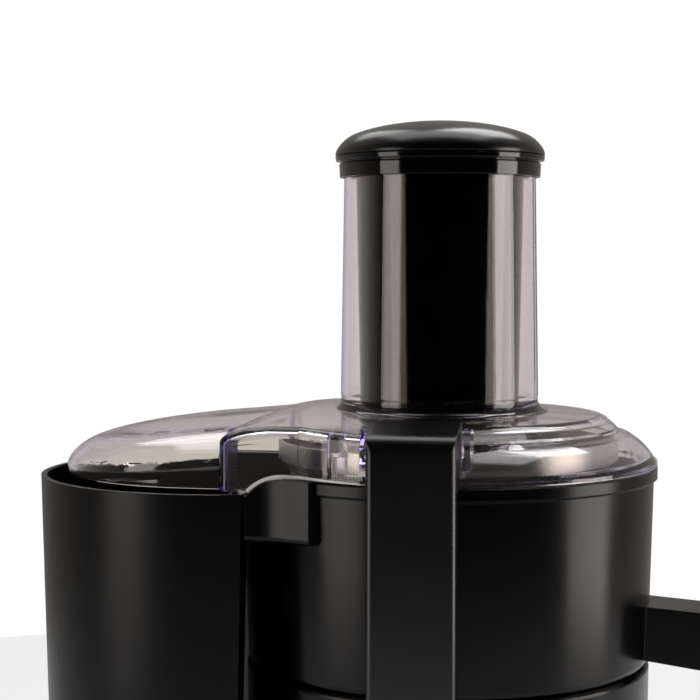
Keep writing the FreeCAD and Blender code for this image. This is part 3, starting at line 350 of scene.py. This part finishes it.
def mesh_holes(material):
    """Nothing in the small round holes that stand in rows round the basket, and one between them."""
    place = split(material, piece_place(material))
    holes_round = round(2 * math.pi * BASKET_R / MESH_PITCH)
    across = calculate(material, "SUBTRACT", place["X"], AXIS_X)
    turn = calculate(material, "ARCTAN2", place["Y"], across)
    grid = add(material, "ShaderNodeCombineXYZ")
    feed(material, grid.inputs["X"], calculate(material, "MULTIPLY", turn, holes_round / (2 * math.pi)))
    feed(material, grid.inputs["Y"], calculate(material, "DIVIDE", place["Z"], MESH_PITCH))
    cells = add(material, "ShaderNodeTexVoronoi", voronoi_dimensions="2D", feature="F1")
    feed(material, cells.inputs["Vector"], grid.outputs["Vector"])
    feed(material, cells.inputs["Scale"], 1.0)
    feed(material, cells.inputs["Randomness"], 0.0)
    return spread(material, cells.outputs["Distance"], MESH_HOLE, (0.0, 1.0))


def perforated_steel(name):
    material = surface(name, **MESH_STEEL)
    shader = material.node_tree.nodes["Principled BSDF"]
    sheet = mesh_holes(material)
    plain = shader.inputs["Base Color"].links[0].from_socket
    # painted shade: the holes are not cut, so their dark is this near-black colour
    feed(material, shader.inputs["Base Color"], mix_colours(material, sheet, MESH_HOLE_SHADE, plain))
    feed(material, shader.inputs["Normal"], bump(material, sheet, MESH_RELIEF))
    return material


def dress_nodes():
    """Gives every CAD node the finish of its record slot, or its own."""
    for item in frame["record"]["subparts"]:
        finish = OWN_FINISHES.get(item["node"], item["material_slot"])
        mesh = frame["nodes"][item["node"]].data
        mesh.materials.clear()
        mesh.materials.append(materials[finish])


# Pieces that the CAD model doesn't have

def closed_form(name, rings, finish):
    """Closed piece through a row of rings of points, with a flat face at each end."""
    form = bmesh.new()
    loops = [[form.verts.new(point) for point in ring] for ring in rings]
    for first, second in zip(loops, loops[1:]):
        for corner in range(len(first)):
            after = (corner + 1) % len(first)
            form.faces.new((first[corner], first[after], second[after], second[corner]))
    form.faces.new(loops[0])
    form.faces.new(loops[-1])
    bmesh.ops.recalc_face_normals(form, faces=form.faces)
    mesh = bpy.data.meshes.new(name)
    form.to_mesh(mesh)
    form.free()
    mesh.materials.append(materials[finish])
    piece = bpy.data.objects.new(name, mesh)
    bpy.context.scene.collection.objects.link(piece)
    return piece


def edge_path():
    """Places along the edge from the bin to the latch, each with its way up and its half height."""
    points = []
    for step in range(EDGE_STEPS + 1):
        turn = EDGE_FALL_TURN * (1 - step / EDGE_STEPS)
        up = (-math.sin(turn), math.cos(turn))
        x = EDGE_FALL_X + EDGE_FALL_R * up[0]
        z = EDGE_LIFT + EDGE_FALL_R * (up[1] - 1)
        points.append((x, z, up, EDGE_TALL))
    for step in range(1, EDGE_STEPS + 1):
        share = step / EDGE_STEPS
        x = EDGE_FALL_X + (EDGE_RIGHT_X - EDGE_FALL_X) * share
        tall = EDGE_TALL * (1 - (1 - EDGE_SLIM) * share)
        points.append((x, EDGE_LIFT - EDGE_TALL + tall, (0.0, 1.0), tall))
    return points


def boxed(value):
    """Pushes a sine or cosine outwards, which turns a circle into a box with round corners."""
    return math.copysign(math.sqrt(abs(value)), value)


def place_edge_highlight(name, side):
    """Pale rounded strip along the lid's edge, on the front or the rear: a painted highlight for the light
    on the clear rim.
    """
    rings = []
    for x, z, up, tall in edge_path():
        reach = max(EDGE_SIDE, math.sqrt(EDGE_R ** 2 - x ** 2))
        ring = []
        for corner in range(EDGE_SIDES):
            angle = 2 * math.pi * corner / EDGE_SIDES
            rise = tall * boxed(math.sin(angle))
            out = EDGE_DEEP * boxed(math.cos(angle))
            ring.append((AXIS_X + x + rise * up[0], side * (reach + out), LIP_Z + z + rise * up[1]))
        rings.append(ring)
    # painted highlight: the strip is pale for the light on the clear rim
    edge = closed_form(name, rings, "edge_highlight")
    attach(edge, "lid")


def place_numerals():
    """Plain numerals on the dial plate, round the knob."""
    ring_r = (KNOB_R + DIAL_R) / 2
    for index, figure in enumerate(NUMERALS):
        curve = bpy.data.curves.new("dial_" + figure, "FONT")
        curve.body = figure
        curve.size = NUMERAL_SIZE
        curve.align_x = "CENTER"
        curve.align_y = "CENTER"
        curve.extrude = NUMERAL_HALF
        curve.materials.append(materials["print_white"])
        mark = bpy.data.objects.new("dial_" + figure, curve)
        angle = index * NUMERAL_STEP
        side = ring_r * math.sin(angle)
        rise = ring_r * math.cos(angle)
        mark.location = (AXIS_X + side, DIAL_FACE_Y - NUMERAL_LIFT, KNOB_Z + rise)
        mark.rotation_euler = (math.pi / 2, 0, 0)
        bpy.context.scene.collection.objects.link(mark)
        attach(mark, "base")


def pointer_ring(inset, depth):
    """Outline of the inlay with round ends, drawn in by the inset."""
    half = POINTER_WIDTH / 2 - inset
    reach = (POINTER_LENGTH - POINTER_WIDTH) / 2
    ring = []
    for step in range(POINTER_STEPS):
        angle = 2 * math.pi * (step + 0.5) / POINTER_STEPS
        rise = half * math.sin(angle) + math.copysign(reach, math.sin(angle))
        ring.append((half * math.cos(angle), depth, rise))
    return ring


def place_pointer():
    """White inlay in the knob's groove, with round ends and eased edges."""
    eased = POINTER_EDGE * POINTER_EASE
    rings = [
        pointer_ring(POINTER_EDGE, 0.0),
        pointer_ring(eased, eased),
        pointer_ring(0.0, POINTER_EDGE),
        pointer_ring(0.0, POINTER_DEPTH)]
    inlay = closed_form("knob_pointer", rings, "print_white")
    inlay.location = (AXIS_X, KNOB_FACE_Y + POINTER_BELOW, KNOB_Z + KNOB_R - POINTER_IN)
    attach(inlay, "speed_knob")


# Camera

def place_camera():
    camera = bpy.data.objects.new("camera", bpy.data.cameras.new("camera"))
    camera.data.sensor_width = SENSOR
    camera.data.lens = CAMERA_LENS
    position = Vector((
        AXIS_X + CAMERA_DISTANCE * math.sin(CAMERA_AZIMUTH),
        -CAMERA_DISTANCE * math.cos(CAMERA_AZIMUTH),
        LIP_Z + CAMERA_HEIGHT))
    turn = Matrix.Rotation(CAMERA_HEADING, 4, "Z") @ Matrix.Rotation(math.pi / 2 - CAMERA_TILT, 4, "X")
    camera.matrix_world = Matrix.Translation(position) @ turn
    bpy.context.scene.collection.objects.link(camera)
    bpy.context.scene.camera = camera


# Studio

def pale_floor():
    """Round floor that takes shadows, and looks nearly white straight or through the lid."""
    bpy.ops.mesh.primitive_circle_add(
        vertices=FLOOR_SIDES, radius=FLOOR_R, fill_type="NGON", location=(0, 0, -FLOOR_DROP))
    floor = bpy.context.object
    floor.name = "floor"
    material = bpy.data.materials.new("floor")
    material.use_nodes = True
    material.node_tree.nodes.clear()
    diffuse = add(material, "ShaderNodeBsdfDiffuse")
    feed(material, diffuse.inputs["Color"], FLOOR_TONE)
    glow = add(material, "ShaderNodeEmission")
    rays = add(material, "ShaderNodeLightPath").outputs
    seen = calculate(material, "MAXIMUM", rays["Is Camera Ray"], rays["Is Transmission Ray"])
    share = calculate(material, "MULTIPLY", seen, FLOOR_GLOW)
    mixed = mix_shaders(material, share, diffuse.outputs[0], glow.outputs[0])
    output = add(material, "ShaderNodeOutputMaterial")
    feed(material, output.inputs["Surface"], mixed)
    floor.data.materials.append(material)


def background(world, colour, strength=1.0):
    item = add(world, "ShaderNodeBackground")
    feed(world, item.inputs["Color"], colour)
    feed(world, item.inputs["Strength"], strength)
    return item.outputs[0]


def studio_world():
    """White to the eye, also straight through the lid. Reflections see it grey behind and dark in front."""
    world = bpy.data.worlds.new("studio")
    bpy.context.scene.world = world
    world.use_nodes = True
    world.node_tree.nodes.clear()
    direction = add(world, "ShaderNodeTexCoord").outputs["Generated"]
    turn = add(world, "ShaderNodeMapping")
    turn.inputs["Rotation"].default_value[2] = -CAMERA_AZIMUTH
    feed(world, turn.inputs["Vector"], direction)
    depth = split(world, turn.outputs["Vector"])["Y"]
    rays = add(world, "ShaderNodeLightPath").outputs
    grey = background(world, STUDIO_GREY, spread(world, depth, STUDIO_DEPTHS, (STUDIO_DARK, 1.0)))
    around = mix_shaders(world, rays["Is Diffuse Ray"], grey, background(world, FILL_GREY))
    straight = calculate(world, "LESS_THAN", rays["Glossy Depth"], STRAIGHT_BELOW)
    behind = spread(world, depth, OPEN_DEPTHS, (0.0, OPEN_SHARE))
    clear_way = calculate(world, "MAXIMUM", straight, behind)
    through = calculate(world, "MULTIPLY", clear_way, rays["Is Transmission Ray"])
    seen = calculate(world, "MAXIMUM", rays["Is Camera Ray"], through)
    mixed = mix_shaders(world, seen, around, background(world, WHITE))
    output = add(world, "ShaderNodeOutputWorld")
    feed(world, output.inputs["Surface"], mixed)


def place_panel(name, azimuth, elevation, distance, width, height, radiance, colour):
    """Soft panel that faces the machine and that the camera doesn't see."""
    light = bpy.data.lights.new(name, "AREA")
    light.color = colour
    light.shape = "RECTANGLE"
    light.size = width
    light.size_y = height
    light.energy = radiance * math.pi * width * height
    lamp = bpy.data.objects.new(name, light)
    angle = CAMERA_AZIMUTH + math.radians(azimuth)
    rise = math.radians(elevation)
    aim = Vector((AXIS_X, 0, LIGHT_HEIGHT))
    away = Vector((math.sin(angle) * math.cos(rise), -math.cos(angle) * math.cos(rise), math.sin(rise)))
    lamp.location = aim + away * distance
    lamp.rotation_euler = away.to_track_quat("Z", "Y").to_euler()
    lamp.visible_camera = False
    bpy.context.scene.collection.objects.link(lamp)


# The scene

materials = {name: surface(name, **finish) for name, finish in FINISHES.items()}
materials["clear"] = clear_plastic("clear", CHUTE_HAZE)
materials["lid_clear"] = clear_plastic("lid_clear", LID_HAZE)
materials["mesh_steel"] = perforated_steel("mesh_steel")
dress_nodes()
# painted highlight strips along the lid's edge
place_edge_highlight("lid_edge_highlight_front", -1)
place_edge_highlight("lid_edge_highlight_rear", 1)
place_numerals()
place_pointer()
place_camera()
pale_floor()
studio_world()
for panel_name, panel in PANELS.items():
    place_panel(panel_name, **panel)
bpy.context.scene.view_settings.view_transform = "Standard"
